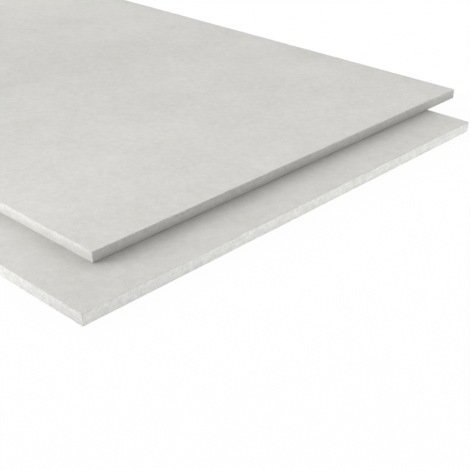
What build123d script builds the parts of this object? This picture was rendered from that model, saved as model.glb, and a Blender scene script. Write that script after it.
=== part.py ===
"""Dry screed floor panel.

Two sawn gypsum-fibre boards of one size are bonded face to face. The upper board is shifted both
along and across the lower one, so the lower board stands out as a lip at one end and along one
side, and the upper board hangs over by as much at the other end and side. Neighbouring panels
overlap there, lip under overhang, and are glued and screwed through both boards.
"""

import os

from build123d import *

# Driving dimensions, in millimetres
board_length = 1500.0  # of each board, along X
board_width = 500.0  # of each board, along Y
board_thickness = 10.0
end_lip = 50.0  # step at the two ends: lip at +X, overhang at -X
side_lip = 50.0  # step along the two sides: lip at -Y, overhang at +Y
arris = 0.5  # eased edge that sawing and handling leave all round a board

# Underside of each board, placed so that the panel's whole outline is centred on the Z axis
lower_underside = Plane(origin=(end_lip / 2, -side_lip / 2, 0))
upper_underside = Plane(origin=(-end_lip / 2, side_lip / 2, board_thickness))


def sawn_board(name, underside):
    """One board, sawn square to size with its edges eased, written as the node of that name."""
    with BuildPart() as board:
        with BuildSketch(underside):
            Rectangle(board_length, board_width)
        extrude(amount=board_thickness)
        chamfer(board.edges(), length=arris)
    board.part.label = name
    export_step(board.part, f"parts/{name}.step")


os.makedirs("parts", exist_ok=True)
sawn_board("lower_board", lower_underside)
sawn_board("upper_board", upper_underside)
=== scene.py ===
"""Looks of the dry screed floor panel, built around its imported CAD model.

Each of the two gypsum-fibre boards is made again from the size of its CAD node, with sawn edges whose
arrises have crumbled a little. Both have one finish: sanded, pulpy faces and paler, grainier saw cuts.
Lengths are in metres, unless a comment says otherwise.
"""

import math

import bpy
from mathutils import Matrix
from mathutils import Vector


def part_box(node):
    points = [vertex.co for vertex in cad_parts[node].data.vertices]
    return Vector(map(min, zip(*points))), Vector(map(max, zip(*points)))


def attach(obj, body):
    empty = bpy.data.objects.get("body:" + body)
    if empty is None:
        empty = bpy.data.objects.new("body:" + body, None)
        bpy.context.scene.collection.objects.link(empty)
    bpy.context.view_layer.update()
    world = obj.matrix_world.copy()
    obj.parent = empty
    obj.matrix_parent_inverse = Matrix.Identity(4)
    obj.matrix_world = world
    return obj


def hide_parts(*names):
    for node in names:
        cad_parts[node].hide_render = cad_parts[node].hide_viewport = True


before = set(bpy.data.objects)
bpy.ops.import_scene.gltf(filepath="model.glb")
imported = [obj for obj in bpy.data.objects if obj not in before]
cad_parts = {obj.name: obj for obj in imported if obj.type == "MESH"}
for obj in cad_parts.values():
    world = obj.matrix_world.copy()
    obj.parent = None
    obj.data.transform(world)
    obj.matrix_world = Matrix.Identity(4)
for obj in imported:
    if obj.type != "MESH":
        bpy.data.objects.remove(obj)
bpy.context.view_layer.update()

# The photograph's frame in pixels, and the view that fits the board edges in it
PHOTO_SIDE = 470
PHOTO_FOCAL = 949.0
FRONT_CORNER_PIXEL = (82.9, 326.8)  # lower board's bottom corner nearest to the camera
FRONT_CORNER_DEPTH = 0.6595  # along the view
VIEW_AZIMUTH = 43.74  # degrees; at 0 the camera looks along +Y
VIEW_ELEVATION = 28.25  # degrees
SENSOR = 36.0  # millimetres
NEAREST_SEEN = 0.01  # from the camera

# Sky that glows on three sides: azimuth from +X in degrees, and strength at the horizon there
SKY_GLOWS = {180.0: 1.56, 135.0: 1.12, 45.0: 0.7}

# Soft lamps: azimuth from +X, elevation and spread in degrees, distance, side, and watts
SOFT_LAMPS = {
    "left_lamp": (230.0, 15.0, 50.0, 0.65, 0.39, 0.39),
    "far_left_lamp": (160.0, 25.0, 180.0, 1.8, 1.08, 5.2),
    "back_lamp": (90.0, 25.0, 180.0, 1.8, 1.08, 6.1),
}
LAMP_AIM = 0.1  # from the upper board's near corner, along the edge on the left

# Row of flat lamps on the floor, along the shaded end with the lip
STRIP_WIDTH = 0.1
STRIP_OVERRUN = 0.004  # past both corners of the end
STRIP_GAP = 0.0001  # from the lower board's end
STRIP_LIFT = 0.00002  # above the floor
STRIP_WATTS = 0.113  # of the whole row, if its lamps were alike
STRIP_GLOWS = (0.87, 1.0, 1.08, 1.1)  # of each lamp in the row, from the near corner on

# White floor, and cards that shade the overhanging sides
FLOOR_SIDE = 12.0
FLOOR_COLOUR = (0.92, 0.92, 0.92, 1.0)
FLOOR_GLOW_SHARE = 0.97  # of what the camera sees of the floor, plain white
FLOOR_DROP = 0.0001  # below the panel's underside
CARD_GAP = 0.045  # from the overhanging sides to the cards
CARD_HEIGHT = 0.04
CARD_GREY = (0.8, 0.8, 0.8, 1.0)
WHITE = (1.0, 1.0, 1.0, 1.0)
WHITE_GLOW = 1.0  # strength at which the camera sees white

# Octaves of a noise: how many finer ones follow the first, and each one's share of the one before
SMOOTH = (1.0, 0.5)
SOFT = (2.0, 0.5)
GRAINY = (2.0, 0.6)
CRUMBLY = (3.0, 0.6)
MOTTLED = (3.0, 0.65)
MIDDLE = 0.5  # of every noise, and of a mix of two shades

# Mesh of a board's rim
END_POINTS = 560  # mesh points along a board's end
RIM_REACH = 0.005  # of the fine mesh, in from the edge over each face
RIM_RINGS = 21  # mesh points across the rim, from face to face
EDGE_RING_SHARE = 0.5  # share of them that lies on the saw cut
HAIR = 0.1  # share of the points' spacing; a point that near to an edge lies on it
BROKEN_ANGLE = math.radians(35)  # between faces that meet in a crisp edge
WELD = 0.000002

# Worn arrises of the rim, with chips and flakes; noise between two levels brings in a chip or flake
ARRIS = 0.0002  # mean width of a worn arris
ARRIS_LUMP = 0.003  # over which the width changes
ARRIS_RAGGED = 1.4  # share of the width that the change takes, per unit of noise
JOINT_ARRIS = 0.0004  # of the lower arris at the upper board's ends, a groove along the joint
JOINT_SLOPE = 0.5  # of that groove's roof
JOINT_RAGGED = 3.0  # as ARRIS_RAGGED, for lower arrises at the ends
BOTTOM_ARRIS = 0.00005  # of the lower arris at the lower board's ends
BOTTOM_SLOPE = 1.0
CHIP_DEPTH = 0.0012
CHIP_LUMP = 0.009
CHIP_LEVELS = (0.57, 0.8)
FLAKE_DEPTH = 0.0006
FLAKE_LUMP = 0.006
FLAKE_LEVELS = (0.64, 0.75)
FLAKE_SLOPE = 0.3
CORNER_WEAR = 0.0002  # of the board's upright corners
FRESH_DEPTH = 0.0004  # of wear that bares pale powder

# Rough surface of the saw cut
SAW_WANDER = 0.00015  # how far the saw strayed inwards
SAW_WANDER_LUMP = 0.07
SAW_WANDER_REACH = 0.5  # share of the rim over which it fades into the face
CRUMB_DEPTH = 0.0002
CRUMB_LUMP = 0.0022
PIT_DEPTH = 0.0006
PIT_LUMP = 0.0035
PIT_LEVELS = (0.64, 0.8)  # of noise, between which a pit sinks in

# Seeds of the two boards, and what each kind of wear adds to them
LOWER_SEED = 3.0
UPPER_SEED = 2.0
CHIP_SEED = 10.0
SAW_WANDER_SEED = 20.0
PIT_SEED = 30.0
FLAKE_SEED = 40.0
CRUMB_SEED = 50.0

# Sizes that both boards share, under the names of the tree's inputs
BOARD_SIZES = {
    "Rim reach": RIM_REACH,
    "Arris": ARRIS,
    "Chip depth": CHIP_DEPTH,
    "Flake depth": FLAKE_DEPTH,
    "Saw wander": SAW_WANDER,
    "Crumb depth": CRUMB_DEPTH,
    "Pit depth": PIT_DEPTH,
}

# Colours of the board, as it looks in plain light
PULP_PALE = (0.725, 0.718, 0.69, 1.0)
PULP_GREY = (0.605, 0.597, 0.565, 1.0)
FIBRE_PALE = (0.80, 0.795, 0.77, 1.0)
FLECK_GREY = (0.36, 0.36, 0.35, 1.0)
CUT_PALE = (0.93, 0.925, 0.905, 1.0)
CUT_GREY = (0.745, 0.74, 0.715, 1.0)
POWDER_PALE = (0.9, 0.9, 0.885, 1.0)
# Grey of the painted shade along the joint and the underside
PAINTED_SHADE_GREY = (0.5, 0.5, 0.495, 1.0)

# Noises of the finish: size of the lumps, or their reach along X, Y and Z, then octaves and seed
CLOUDS = (0.11, CRUMBLY, 1.0)
DRIFTS = (0.028, GRAINY, 2.0)
MOTTLE = (0.007, MOTTLED, 2.5)
FACE_GRAIN = (0.0014, GRAINY, 3.0)
CUT_BORDER = (0.0015, GRAINY, 4.0)
SANDING = ((0.08, 0.0007, 1.0), SOFT, 5.0)
LAYERS = ((0.02, 0.02, 0.0012), CRUMBLY, 6.0)
LUMPS = (0.0045, MOTTLED, 7.0)
CUT_GRAIN = (0.0011, GRAINY, 8.0)
SAW_TEETH = ((0.0016, 0.02, 1.0), SMOOTH, 9.0)
# Patches of painted shade along the underside
BOTTOM_SHADE_PATCHES = (0.025, CRUMBLY, 10.0)

# How far each noise moves the colour from its grey shade to its pale one
CLOUD_SHADE = 0.9
DRIFT_SHADE = 0.7
MOTTLE_SHADE = 1.3
FACE_GRAIN_SHADE = 0.7
LAYER_SHADE = 1.1
LUMP_SHADE = 1.7
CUT_GRAIN_SHADE = 1.8
TOOTH_SHADE = 0.1

# Depth of fine relief
FACE_GRAIN_RELIEF = 0.00004
FIBRE_RELIEF = 0.00003
SANDING_RELIEF = 0.000012
LAYER_RELIEF = 0.00006
LUMP_RELIEF = 0.0001
CUT_GRAIN_RELIEF = 0.00018
TOOTH_RELIEF = 0.000012
RELIEF_SCALE = 1.0  # of the bump, since the relief is in metres

# Paper fibres in the faces, and grey flecks
FIBRE_WAYS = 4  # directions in which they lie
FIBRE_TURN = 0.4  # radians from X to the first of them
FIBRE_LUMP = (0.005, 0.0006, 0.0006)  # length, and width twice
FIBRE_LEVELS = (0.62, 0.74)  # of noise, between which a fibre shows
FIBRE_SEED_STEP = 3.0
FIBRE_SHARE = 0.45
FLECK_SPACING = 0.012
FLECK_CORE = 0.02  # radius of a fleck's full grey, as a share of the spacing
FLECK_LEAST = 0.03  # radius of the smallest fleck
FLECK_SPREAD = 0.05  # by which the largest is larger
FLECK_SHARE = 0.2

# Painted shade on the saw cuts along the joint and the underside, the saw cuts' border with the faces, and
# how matt both are
JOINT_SHADE_HEIGHT = 0.01  # above the joint, over which the painted shade on the upper board's saw cut fades out
JOINT_SHADE_SHARE = 0.5  # how far the painted shade along the joint moves the colour towards its grey shade
JOINT_SHADE_DEPTH = 0.05  # share of the painted shade grey in the painted shade along the joint
BOTTOM_SHADE_HEIGHT = 0.0045  # above the underside, over which painted shade darkens the saw cut in patches
BOTTOM_SHADE_LEVELS = (0.45, 0.65)  # of noise, between which a patch of painted shade shows
BOTTOM_SHADE_SHARE = 0.1
POWDER_SHARE = 0.5
CUT_RAGGED = 0.6  # of the border, per unit of noise
CUT_LEVELS = (0.35, 0.65)  # between which face turns to saw cut
FACE_ROUGHNESS = 0.84
CUT_ROUGHNESS = 0.94
SPECULAR_LEVEL = 0.05


class Wire:
    """A node's output that Python's operators work on: an expression on values adds its Math nodes."""

    def __init__(self, bench, socket):
        self.bench = bench
        self.socket = socket

    def beside(self, name):
        """Another output of the same node."""
        return Wire(self.bench, self.socket.node.outputs[name])

    def __add__(self, other):
        return self.bench.math("ADD", self, other)

    def __radd__(self, other):
        return self.bench.math("ADD", other, self)

    def __sub__(self, other):
        return self.bench.math("SUBTRACT", self, other)

    def __rsub__(self, other):
        return self.bench.math("SUBTRACT", other, self)

    def __mul__(self, other):
        return self.bench.math("MULTIPLY", self, other)

    def __rmul__(self, other):
        return self.bench.math("MULTIPLY", other, self)

    def __truediv__(self, other):
        return self.bench.math("DIVIDE", self, other)

    def __rtruediv__(self, other):
        return self.bench.math("DIVIDE", other, self)

    def __pow__(self, other):
        return self.bench.math("POWER", self, other)

    def __abs__(self):
        return self.bench.math("ABSOLUTE", self)


class Bench:
    """A node tree under construction, for a finish or for a shape."""

    def __init__(self, tree):
        self.tree = tree

    def node(self, kind, settings=(), sockets=(), out=0):
        """Adds any node: its settings are made first, then its sockets' values or links."""
        made = self.tree.nodes.new(kind)
        for name, value in dict(settings).items():
            setattr(made, name, value)
        for key, value in dict(sockets).items():
            self.fill(made.inputs[key], value)
        if made.outputs:
            return Wire(self, made.outputs[out])

    def fill(self, socket, value):
        """Gives a socket its value, its link, or its several links."""
        if isinstance(value, list):
            for wire in value:
                self.tree.links.new(wire.socket, socket)
        elif isinstance(value, Wire):
            self.tree.links.new(value.socket, socket)
        else:
            socket.default_value = value

    def math(self, operation, *values):
        return self.node("ShaderNodeMath", {"operation": operation}, enumerate(values))

    def most(self, *values):
        return self.math("MAXIMUM", *values)

    def least(self, *values):
        return self.math("MINIMUM", *values)

    def parts(self, vector):
        """The X, Y and Z of a vector."""
        x = self.node("ShaderNodeSeparateXYZ", sockets={"Vector": vector})
        return x, x.beside("Y"), x.beside("Z")

    def vector(self, x, y, z):
        return self.node("ShaderNodeCombineXYZ", sockets={"X": x, "Y": y, "Z": z})

    def stretched(self, vector, by):
        """A vector times another, part by part."""
        return self.node("ShaderNodeVectorMath", {"operation": "MULTIPLY"}, {0: vector, 1: by})

    def along(self, vector, direction):
        """How far a vector reaches in a direction."""
        settings = {"operation": "DOT_PRODUCT"}
        return self.node("ShaderNodeVectorMath", settings, {0: vector, 1: direction}, out="Value")

    def rising(self, value, low, high):
        """0 below low, 1 above high, and a smooth step between."""
        limits = {"Value": value, "From Min": low, "From Max": high}
        return self.node("ShaderNodeMapRange", {"interpolation_type": "SMOOTHSTEP"}, limits)

    def noise(self, at, lump, octaves, seed):
        """Smooth noise from 0 to 1, with lumps about that far apart, or that far along X, Y and Z."""
        if isinstance(lump, tuple):
            at = self.stretched(at, tuple(1 / reach for reach in lump))
            lump = 1.0
        detail, roughness = octaves
        shape = {"Vector": at, "W": seed, "Scale": 1 / lump, "Detail": detail, "Roughness": roughness}
        return self.node("ShaderNodeTexNoise", {"noise_dimensions": "4D"}, shape)

    def mix(self, share, first, second):
        """A colour between two: the first at share 0, the second at 1."""
        return self.node("ShaderNodeMix", {"data_type": "RGBA"}, {0: share, 6: first, 7: second}, out=2)


def in_scene(name, data):
    """A new object for a mesh, a lamp or a camera, linked to the scene."""
    made = bpy.data.objects.new(name, data)
    bpy.context.scene.collection.objects.link(made)
    return made


def bare_material(name):
    """A new material and the bench for its tree, which has no nodes yet."""
    material = bpy.data.materials.new(name)
    material.use_nodes = True
    bench = Bench(material.node_tree)
    bench.tree.nodes.clear()
    return material, bench


def kept(bench, shape, name, data_type, value):
    """The shape with a value kept on its points under that name."""
    settings = {"data_type": data_type, "domain": "POINT"}
    sockets = {"Geometry": shape, "Name": name, "Value": value}
    return bench.node("GeometryNodeStoreNamedAttribute", settings, sockets)


def recalled(bench, name, data_type):
    """A value that was kept on the points under that name."""
    return bench.node("GeometryNodeInputNamedAttribute", {"data_type": data_type}, {"Name": name})


def rim_outline(bench, size):
    """The board's outline as a closed curve whose points keep their place."""
    whole = bench.node(
        "GeometryNodeCurvePrimitiveQuadrilateral",
        {"mode": "RECTANGLE"},
        {"Width": size["Length"], "Height": size["Width"]},
    )
    steps = bench.math("ROUND", 2 * (size["Length"] + size["Width"]) / size["Rim spacing"])
    fine = bench.node("GeometryNodeResampleCurve", {"mode": "COUNT"}, {"Curve": whole, "Count": steps})
    return kept(bench, fine, "outline", "FLOAT_VECTOR", bench.node("GeometryNodeInputPosition"))


def rim_section(bench, size):
    """The rim's section as a curve, each point with its inset from the edge and its rise from mid-depth."""
    line = bench.node("GeometryNodeCurvePrimitiveLine")
    fine = bench.node("GeometryNodeResampleCurve", {"mode": "COUNT"}, {"Curve": line, "Count": RIM_RINGS})
    along = bench.node("GeometryNodeSplineParameter", out="Factor")
    from_middle = abs(2 * along - 1)
    up_edge = bench.math("SINE", bench.least(from_middle / EDGE_RING_SHARE, 1.0) * (math.pi / 2))
    rise = up_edge * size["Thickness"] / 2 * bench.math("SIGN", 1 - 2 * along)
    over_face = bench.most(from_middle - EDGE_RING_SHARE, 0.0) / (1 - EDGE_RING_SHARE)
    inset = size["Rim reach"] * over_face**2
    return kept(bench, kept(bench, fine, "inset", "FLOAT", inset), "rise", "FLOAT", rise)


def inner_place(bench, size, outline, inset, rise):
    """A point of the outline, drawn in from the edge by the inset and put at its rise."""
    x, y, _ = bench.parts(outline)
    return bench.vector(x * (1 - 2 * inset / size["Length"]), y * (1 - 2 * inset / size["Width"]), rise)


def carved(bench, wear, slope, inset, depth):
    """How far a point moves in and down to the plane that cuts the arris, wear deep at the edge."""
    short = bench.most(wear - slope * inset - depth, 0.0) / (1 + slope**2)
    return slope * short, short


def worn_rim(bench, size, rim):
    """The plain rim with its arrises worn and chipped and its saw cuts rough, always inwards."""
    at = bench.node("GeometryNodeInputPosition")
    seed = size["Seed"]
    inset = recalled(bench, "inset", "FLOAT")
    rise = recalled(bench, "rise", "FLOAT")
    depth = size["Thickness"] / 2 - abs(rise)

    x, y, _ = bench.parts(recalled(bench, "outline", "FLOAT_VECTOR"))
    hair = HAIR * size["Rim spacing"]
    on_end = bench.math("GREATER_THAN", abs(x), size["Length"] / 2 - hair)
    on_side = bench.math("GREATER_THAN", abs(y), size["Width"] / 2 - hair)

    lumps = bench.noise(at, ARRIS_LUMP, CRUMBLY, seed)
    chips = bench.rising(bench.noise(at, CHIP_LUMP, CRUMBLY, seed + CHIP_SEED), *CHIP_LEVELS)
    grooved = on_end * bench.math("LESS_THAN", rise, 0.0)
    arris = size["Arris"] + grooved * (size["Groove"] - size["Arris"])
    slope = 1 + grooved * (size["Groove slope"] - 1)
    ragged = ARRIS_RAGGED + grooved * (JOINT_RAGGED - ARRIS_RAGGED)
    wear = arris * (1 + ragged * (lumps - MIDDLE)) + size["Chip depth"] * chips
    flakes = bench.rising(bench.noise(at, FLAKE_LUMP, CRUMBLY, seed + FLAKE_SEED), *FLAKE_LEVELS)
    lifted = size["Flake depth"] * flakes
    chip_in, chip_down = carved(bench, wear, slope, inset, depth)
    flake_in, flake_down = carved(bench, lifted, FLAKE_SLOPE, inset, depth)

    wander = size["Saw wander"] * bench.noise(at, SAW_WANDER_LUMP, SMOOTH, seed + SAW_WANDER_SEED)
    crumbs = size["Crumb depth"] * bench.noise(at, CRUMB_LUMP, SMOOTH, seed + CRUMB_SEED)
    hollows = bench.rising(bench.noise(at, PIT_LUMP, SOFT, seed + PIT_SEED), *PIT_LEVELS)
    pits = size["Pit depth"] * hollows
    on_cut = 1 - bench.rising(inset, 0.0, size["Arris"])
    near_cut = 1 - bench.rising(inset, 0.0, SAW_WANDER_REACH * size["Rim reach"])
    on_corner = on_end * on_side * on_cut * CORNER_WEAR
    inwards = bench.most(chip_in, flake_in) + wander * near_cut + (crumbs + pits) * on_cut
    inwards = inwards + on_corner * (MIDDLE + lumps)
    down = bench.most(chip_down, flake_down)
    offset = bench.vector(
        -1 * bench.math("SIGN", x) * on_end * inwards,
        -1 * bench.math("SIGN", y) * on_side * inwards,
        -1 * bench.math("SIGN", rise) * down,
    )

    chipped = bench.math("GREATER_THAN", wear, inset)
    flaked = bench.math("GREATER_THAN", lifted, FLAKE_SLOPE * inset)
    marked = kept(bench, rim, "sawn", "FLOAT", bench.most(chipped, flaked))
    fresh = bench.rising(bench.most(down, on_corner), 0.0, FRESH_DEPTH)
    marked = kept(bench, marked, "fresh", "FLOAT", fresh)
    return bench.node("GeometryNodeSetPosition", sockets={"Geometry": marked, "Offset": offset})


def board_face(bench, size, outline, side):
    """The plain middle of the upper (side 1) or lower (side -1) face, which the rim closes on."""
    place = bench.node("GeometryNodeInputPosition")
    edge = inner_place(bench, size, place, size["Rim reach"], 0.0)
    inner = bench.node("GeometryNodeSetPosition", sockets={"Geometry": outline, "Position": edge})
    filled = bench.node("GeometryNodeFillCurve", {"mode": "NGONS"}, {"Curve": inner})
    lift = bench.vector(0.0, 0.0, size["Thickness"] * (side / 2))
    face = bench.node("GeometryNodeSetPosition", sockets={"Geometry": filled, "Offset": lift})
    if side < 0:
        face = bench.node("GeometryNodeFlipFaces", sockets={"Mesh": face})
    return kept(bench, kept(bench, face, "sawn", "FLOAT", 0.0), "fresh", "FLOAT", 0.0)


def board_tree():
    """Geometry Nodes tree of one sawn board: a fine rim swept round the outline, and two plain faces."""
    tree = bpy.data.node_groups.new("sawn_board", "GeometryNodeTree")
    tree.is_modifier = True
    tree.interface.new_socket("Board", in_out="OUTPUT", socket_type="NodeSocketGeometry")
    own_sizes = ["Length", "Width", "Thickness", "Seed", "Rim spacing", "Groove", "Groove slope"]
    for name in own_sizes + list(BOARD_SIZES):
        tree.interface.new_socket(name, in_out="INPUT", socket_type="NodeSocketFloat")
    tree.interface.new_socket("Centre", in_out="INPUT", socket_type="NodeSocketVector")
    tree.interface.new_socket("Finish", in_out="INPUT", socket_type="NodeSocketMaterial")

    bench = Bench(tree)
    first = bench.node("NodeGroupInput")
    size = {socket.name: first.beside(socket.name) for socket in first.socket.node.outputs if socket.name}
    outline = rim_outline(bench, size)
    section = rim_section(bench, size)
    swept = bench.node("GeometryNodeCurveToMesh", sockets={"Curve": outline, "Profile Curve": section})
    place = inner_place(
        bench,
        size,
        recalled(bench, "outline", "FLOAT_VECTOR"),
        recalled(bench, "inset", "FLOAT"),
        recalled(bench, "rise", "FLOAT"),
    )
    rim = bench.node("GeometryNodeSetPosition", sockets={"Geometry": swept, "Position": place})
    shells = [
        worn_rim(bench, size, rim),
        board_face(bench, size, outline, 1),
        board_face(bench, size, outline, -1),
    ]
    board = bench.node("GeometryNodeJoinGeometry", sockets={"Geometry": shells})
    for name in ("outline", "inset", "rise"):
        board = bench.node("GeometryNodeRemoveAttribute", sockets={"Geometry": board, "Name": name})
    board = bench.node("GeometryNodeMergeByDistance", sockets={"Geometry": board, "Distance": WELD})
    centred = {"Geometry": board, "Offset": size["Centre"]}
    board = bench.node("GeometryNodeSetPosition", sockets=centred)
    board = bench.node("GeometryNodeSetShadeSmooth", sockets={"Geometry": board})
    broken = bench.math("GREATER_THAN", bench.node("GeometryNodeInputMeshEdgeAngle"), BROKEN_ANGLE)
    crisp = {"Geometry": board, "Selection": broken, "Shade Smooth": False}
    board = bench.node("GeometryNodeSetShadeSmooth", {"domain": "EDGE"}, crisp)
    board = bench.node("GeometryNodeRealizeInstances", sockets={"Geometry": board})
    board = bench.node("GeometryNodeSetMaterial", sockets={"Geometry": board, "Material": size["Finish"]})
    bench.node("NodeGroupOutput", sockets={"Board": board})
    return tree


def sawn_board(tree, node, seed, groove, groove_slope, finish):
    """Makes the board that stands for a CAD node, as a plain mesh from the tree."""
    low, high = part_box(node)
    extent = high - low
    values = {
        "Length": extent.x,
        "Width": extent.y,
        "Thickness": extent.z,
        "Seed": seed,
        "Groove": groove,
        "Groove slope": groove_slope,
        "Rim spacing": extent.y / END_POINTS,
        "Centre": (low + high) / 2,
        "Finish": finish,
        **BOARD_SIZES,
    }
    blank = in_scene(node + "_sawn", bpy.data.meshes.new(node + "_blank"))
    modifier = blank.modifiers.new("sawn_board", "NODES")
    modifier.node_group = tree
    for socket in tree.interface.items_tree:
        if socket.in_out == "INPUT":
            modifier[socket.identifier] = values[socket.name]
    depsgraph = bpy.context.evaluated_depsgraph_get()
    made = bpy.data.meshes.new_from_object(
        blank.evaluated_get(depsgraph), preserve_all_data_layers=True, depsgraph=depsgraph
    )
    blank.modifiers.clear()
    blank.data = made
    made.name = node + "_sawn"
    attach(blank, "root")
    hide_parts(node)


def paper_fibres(bench, at):
    """Short paper fibres that lie every way in the pulp, 0 to 1."""
    fibres = 0.0
    for way in range(FIBRE_WAYS):
        turn = (0.0, 0.0, FIBRE_TURN + way * math.pi / FIBRE_WAYS)
        settings = {"vector_type": "TEXTURE"}
        turned = bench.node("ShaderNodeMapping", settings, {"Vector": at, "Rotation": turn})
        streaks = bench.noise(turned, FIBRE_LUMP, SMOOTH, FIBRE_SEED_STEP * way)
        fibres = bench.most(fibres, bench.rising(streaks, *FIBRE_LEVELS))
    return fibres


def grey_flecks(bench, at):
    """Specks of darker paper in the pulp, each of its own size, 0 to 1."""
    from_centre = bench.node("ShaderNodeTexVoronoi", sockets={"Vector": at, "Scale": 1 / FLECK_SPACING})
    size = bench.parts(from_centre.beside("Color"))[0]
    return 1 - bench.rising(from_centre, FLECK_CORE, FLECK_LEAST + FLECK_SPREAD * size)


def sanded_face(bench, at):
    """Colour and relief of a board's large face."""
    clouds = bench.noise(at, *CLOUDS)
    drifts = bench.noise(at, *DRIFTS)
    mottle = bench.noise(at, *MOTTLE)
    grain = bench.noise(at, *FACE_GRAIN)
    sanding = bench.noise(at, *SANDING)
    fibres = paper_fibres(bench, at)
    share = (
        MIDDLE
        + CLOUD_SHADE * (clouds - MIDDLE)
        + DRIFT_SHADE * (drifts - MIDDLE)
        + MOTTLE_SHADE * (mottle - MIDDLE)
        + FACE_GRAIN_SHADE * (grain - MIDDLE)
    )
    pulp = bench.mix(share, PULP_GREY, PULP_PALE)
    pulp = bench.mix(FIBRE_SHARE * fibres, pulp, FIBRE_PALE)
    pulp = bench.mix(FLECK_SHARE * grey_flecks(bench, at), pulp, FLECK_GREY)
    relief = FACE_GRAIN_RELIEF * grain + FIBRE_RELIEF * fibres + SANDING_RELIEF * sanding
    return pulp, relief


def saw_cut(bench, at):
    """Colour and relief of a sawn edge or a chip: the paler core, in layers and grains, with saw marks, and
    painted shade along the joint and in patches along the underside.
    """
    x, y, z = bench.parts(at)
    layers = bench.noise(at, *LAYERS)
    lumps = bench.noise(at, *LUMPS)
    grain = bench.noise(at, *CUT_GRAIN)
    teeth = bench.noise(bench.vector(x + y, z, 0.0), *SAW_TEETH)
    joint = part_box("upper_board")[0].z
    # Painted shade: the upper board's saw cut darkens towards the joint, in the crease over the lower
    # board's lip
    joint_shade = bench.math("GREATER_THAN", z, joint) * (1 - bench.rising(z, joint, joint + JOINT_SHADE_HEIGHT))
    share = (
        MIDDLE
        + LAYER_SHADE * (layers - MIDDLE)
        + LUMP_SHADE * (lumps - MIDDLE)
        + CUT_GRAIN_SHADE * (grain - MIDDLE)
        + TOOTH_SHADE * (teeth - MIDDLE)
        - JOINT_SHADE_SHARE * joint_shade
    )
    core = bench.mix(share, CUT_GREY, CUT_PALE)
    core = bench.mix(JOINT_SHADE_DEPTH * joint_shade, core, PAINTED_SHADE_GREY)
    # Painted shade: darker patches on the saw cut just above the underside, where the board meets the floor
    low = 1 - bench.rising(z, 0.0, BOTTOM_SHADE_HEIGHT)
    bottom_shade = bench.rising(bench.noise(at, *BOTTOM_SHADE_PATCHES), *BOTTOM_SHADE_LEVELS)
    core = bench.mix(BOTTOM_SHADE_SHARE * low * bottom_shade, core, PAINTED_SHADE_GREY)
    relief = LAYER_RELIEF * layers + LUMP_RELIEF * lumps + CUT_GRAIN_RELIEF * grain + TOOTH_RELIEF * teeth
    return core, relief


def gypsum_fibreboard():
    """Finish of both boards."""
    material, bench = bare_material("gypsum_fibreboard")
    at = bench.node("ShaderNodeTexCoord", out="Object")
    sawn = bench.node("ShaderNodeAttribute", {"attribute_name": "sawn"}, out="Fac")
    fresh = bench.node("ShaderNodeAttribute", {"attribute_name": "fresh"}, out="Fac")
    border = sawn + CUT_RAGGED * (bench.noise(at, *CUT_BORDER) - MIDDLE)
    cut = bench.rising(border, *CUT_LEVELS)
    face, face_relief = sanded_face(bench, at)
    core, core_relief = saw_cut(bench, at)
    core = bench.mix(POWDER_SHARE * fresh, core, POWDER_PALE)
    relief = face_relief + cut * (core_relief - face_relief)
    bump = bench.node("ShaderNodeBump", sockets={"Height": relief, "Distance": RELIEF_SCALE})
    shader = bench.node(
        "ShaderNodeBsdfPrincipled",
        sockets={
            "Base Color": bench.mix(cut, face, core),
            "Roughness": FACE_ROUGHNESS + (CUT_ROUGHNESS - FACE_ROUGHNESS) * cut,
            "Specular IOR Level": SPECULAR_LEVEL,
            "Normal": bump,
        },
    )
    bench.node("ShaderNodeOutputMaterial", sockets={"Surface": shader})
    return material


def seen_rays(bench):
    """1 for rays that show the background: the camera's own, mirrored and refracted ones."""
    camera = bench.node("ShaderNodeLightPath", out="Is Camera Ray")
    glossy = camera.beside("Is Glossy Ray")
    through = camera.beside("Is Transmission Ray")
    return bench.most(bench.most(camera, glossy), through)


def pointing(azimuth, elevation=0.0):
    """The direction at an azimuth from +X and an elevation, both in degrees."""
    raised = Matrix.Rotation(math.radians(-elevation), 3, "Y") @ Vector((1.0, 0.0, 0.0))
    return Matrix.Rotation(math.radians(azimuth), 3, "Z") @ raised


def studio_sky():
    """Soft light, strongest on the left and towards the back, in front of a white backdrop."""
    world = bpy.data.worlds.new("studio_sky")
    bpy.context.scene.world = world
    world.use_nodes = True
    bench = Bench(world.node_tree)
    bench.tree.nodes.clear()
    way = bench.node("ShaderNodeTexCoord", out="Generated")
    strength = 0.0
    for azimuth, glow in SKY_GLOWS.items():
        strength = strength + glow * bench.most(bench.along(way, pointing(azimuth)), 0.0)
    soft = bench.node("ShaderNodeBackground", sockets={"Color": WHITE, "Strength": strength})
    white = bench.node("ShaderNodeBackground", sockets={"Color": WHITE, "Strength": WHITE_GLOW})
    both = bench.node("ShaderNodeMixShader", sockets={0: seen_rays(bench), 1: soft, 2: white})
    bench.node("ShaderNodeOutputWorld", sockets={"Surface": both})


def white_floor():
    """Plain floor that the camera sees as nearly white, with the panel's shadow on it."""
    material, bench = bare_material("white_floor")
    matt = bench.node("ShaderNodeBsdfDiffuse", sockets={"Color": FLOOR_COLOUR})
    glow = bench.node("ShaderNodeEmission", sockets={"Color": WHITE, "Strength": WHITE_GLOW})
    share = FLOOR_GLOW_SHARE * seen_rays(bench)
    both = bench.node("ShaderNodeMixShader", sockets={0: share, 1: matt, 2: glow})
    bench.node("ShaderNodeOutputMaterial", sockets={"Surface": both})

    half = FLOOR_SIDE / 2
    corners = [(-half, -half), (half, -half), (half, half), (-half, half)]
    mesh = bpy.data.meshes.new("white_floor")
    mesh.from_pydata([(x, y, -FLOOR_DROP) for x, y in corners], [], [(0, 1, 2, 3)])
    mesh.materials.append(material)
    floor = in_scene("white_floor", mesh)


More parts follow.
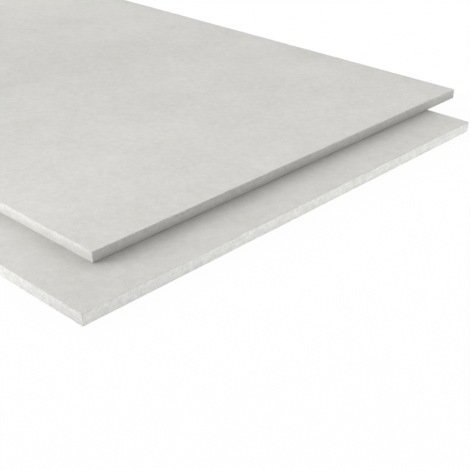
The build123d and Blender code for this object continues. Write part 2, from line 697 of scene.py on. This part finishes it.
def area_lamp(name, width, length, watts):
    """A soft rectangular lamp, not yet placed, that the camera doesn't see."""
    data = bpy.data.lights.new(name, "AREA")
    data.shape = "RECTANGLE"
    data.size = width
    data.size_y = length
    data.energy = watts
    lamp = in_scene(name, data)
    lamp.visible_camera = False
    return lamp


def soft_lamps():
    """The large lamps, on the left and behind, aimed beside the upper board's near corner."""
    low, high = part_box("upper_board")
    aim = Vector((high.x - LAMP_AIM, low.y, high.z))
    for name, (azimuth, elevation, spread, distance, side, watts) in SOFT_LAMPS.items():
        lamp = area_lamp(name, side, side, watts)
        lamp.data.spread = math.radians(spread)
        towards = pointing(azimuth, elevation)
        lamp.location = aim + distance * towards
        lamp.rotation_euler = towards.to_track_quat("Z", "Y").to_euler()


def strip_lamps():
    """The row of flat lamps, which shine up from the floor at the lower board's shaded edge."""
    low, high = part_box("lower_board")
    length = (high.y - low.y + 2 * STRIP_OVERRUN) / len(STRIP_GLOWS)
    watts = STRIP_WATTS / len(STRIP_GLOWS)
    height = low.z - FLOOR_DROP + STRIP_LIFT
    for place, glow in enumerate(STRIP_GLOWS):
        lamp = area_lamp(f"strip_lamp_{place + 1}", STRIP_WIDTH, length, glow * watts)
        middle = low.y - STRIP_OVERRUN + place * length + length / 2
        lamp.location = (high.x + STRIP_GAP + STRIP_WIDTH / 2, middle, height)
        lamp.rotation_euler = (math.pi, 0.0, 0.0)


def shade_cards():
    """Two low upright cards, not seen by the camera, that keep the low light off the overhanging sides."""
    material, bench = bare_material("shade_card")
    matt = bench.node("ShaderNodeBsdfDiffuse", sockets={"Color": CARD_GREY})
    bench.node("ShaderNodeOutputMaterial", sockets={"Surface": matt})

    low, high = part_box("upper_board")
    end = low.x - CARD_GAP
    side = high.y + CARD_GAP
    spots = [(end, low.y), (end, side), (high.x, side)]
    corners = [(x, y, z) for z in (0.0, CARD_HEIGHT) for x, y in spots]
    mesh = bpy.data.meshes.new("shade_cards")
    mesh.from_pydata(corners, [], [(0, 1, 4, 3), (1, 2, 5, 4)])
    mesh.materials.append(material)
    cards = in_scene("shade_cards", mesh)
    cards.visible_camera = False


def photo_camera():
    """Camera at the photograph's angle, with the front corner on the pixel where the photograph has it."""
    data = bpy.data.cameras.new("photo_camera")
    data.sensor_width = SENSOR
    data.lens = SENSOR * PHOTO_FOCAL / PHOTO_SIDE
    data.clip_start = NEAREST_SEEN
    low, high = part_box("lower_board")
    front_corner = Vector((high.x, low.y, low.z))
    tilt = Matrix.Rotation(math.radians(90 - VIEW_ELEVATION), 3, "X")
    turn = Matrix.Rotation(math.radians(VIEW_AZIMUTH), 3, "Z") @ tilt
    right = (FRONT_CORNER_PIXEL[0] - PHOTO_SIDE / 2) / PHOTO_FOCAL
    down = (FRONT_CORNER_PIXEL[1] - PHOTO_SIDE / 2) / PHOTO_FOCAL
    camera = in_scene("photo_camera", data)
    camera.location = front_corner - turn @ (FRONT_CORNER_DEPTH * Vector((right, -down, -1.0)))
    camera.rotation_euler = turn.to_euler()
    bpy.context.scene.camera = camera


bpy.context.scene.view_settings.view_transform = "Standard"
photo_camera()
studio_sky()
white_floor()
soft_lamps()
strip_lamps()
shade_cards()
shape = board_tree()
finish = gypsum_fibreboard()
sawn_board(shape, "lower_board", LOWER_SEED, BOTTOM_ARRIS, BOTTOM_SLOPE, finish)
sawn_board(shape, "upper_board", UPPER_SEED, JOINT_ARRIS, JOINT_SLOPE, finish)
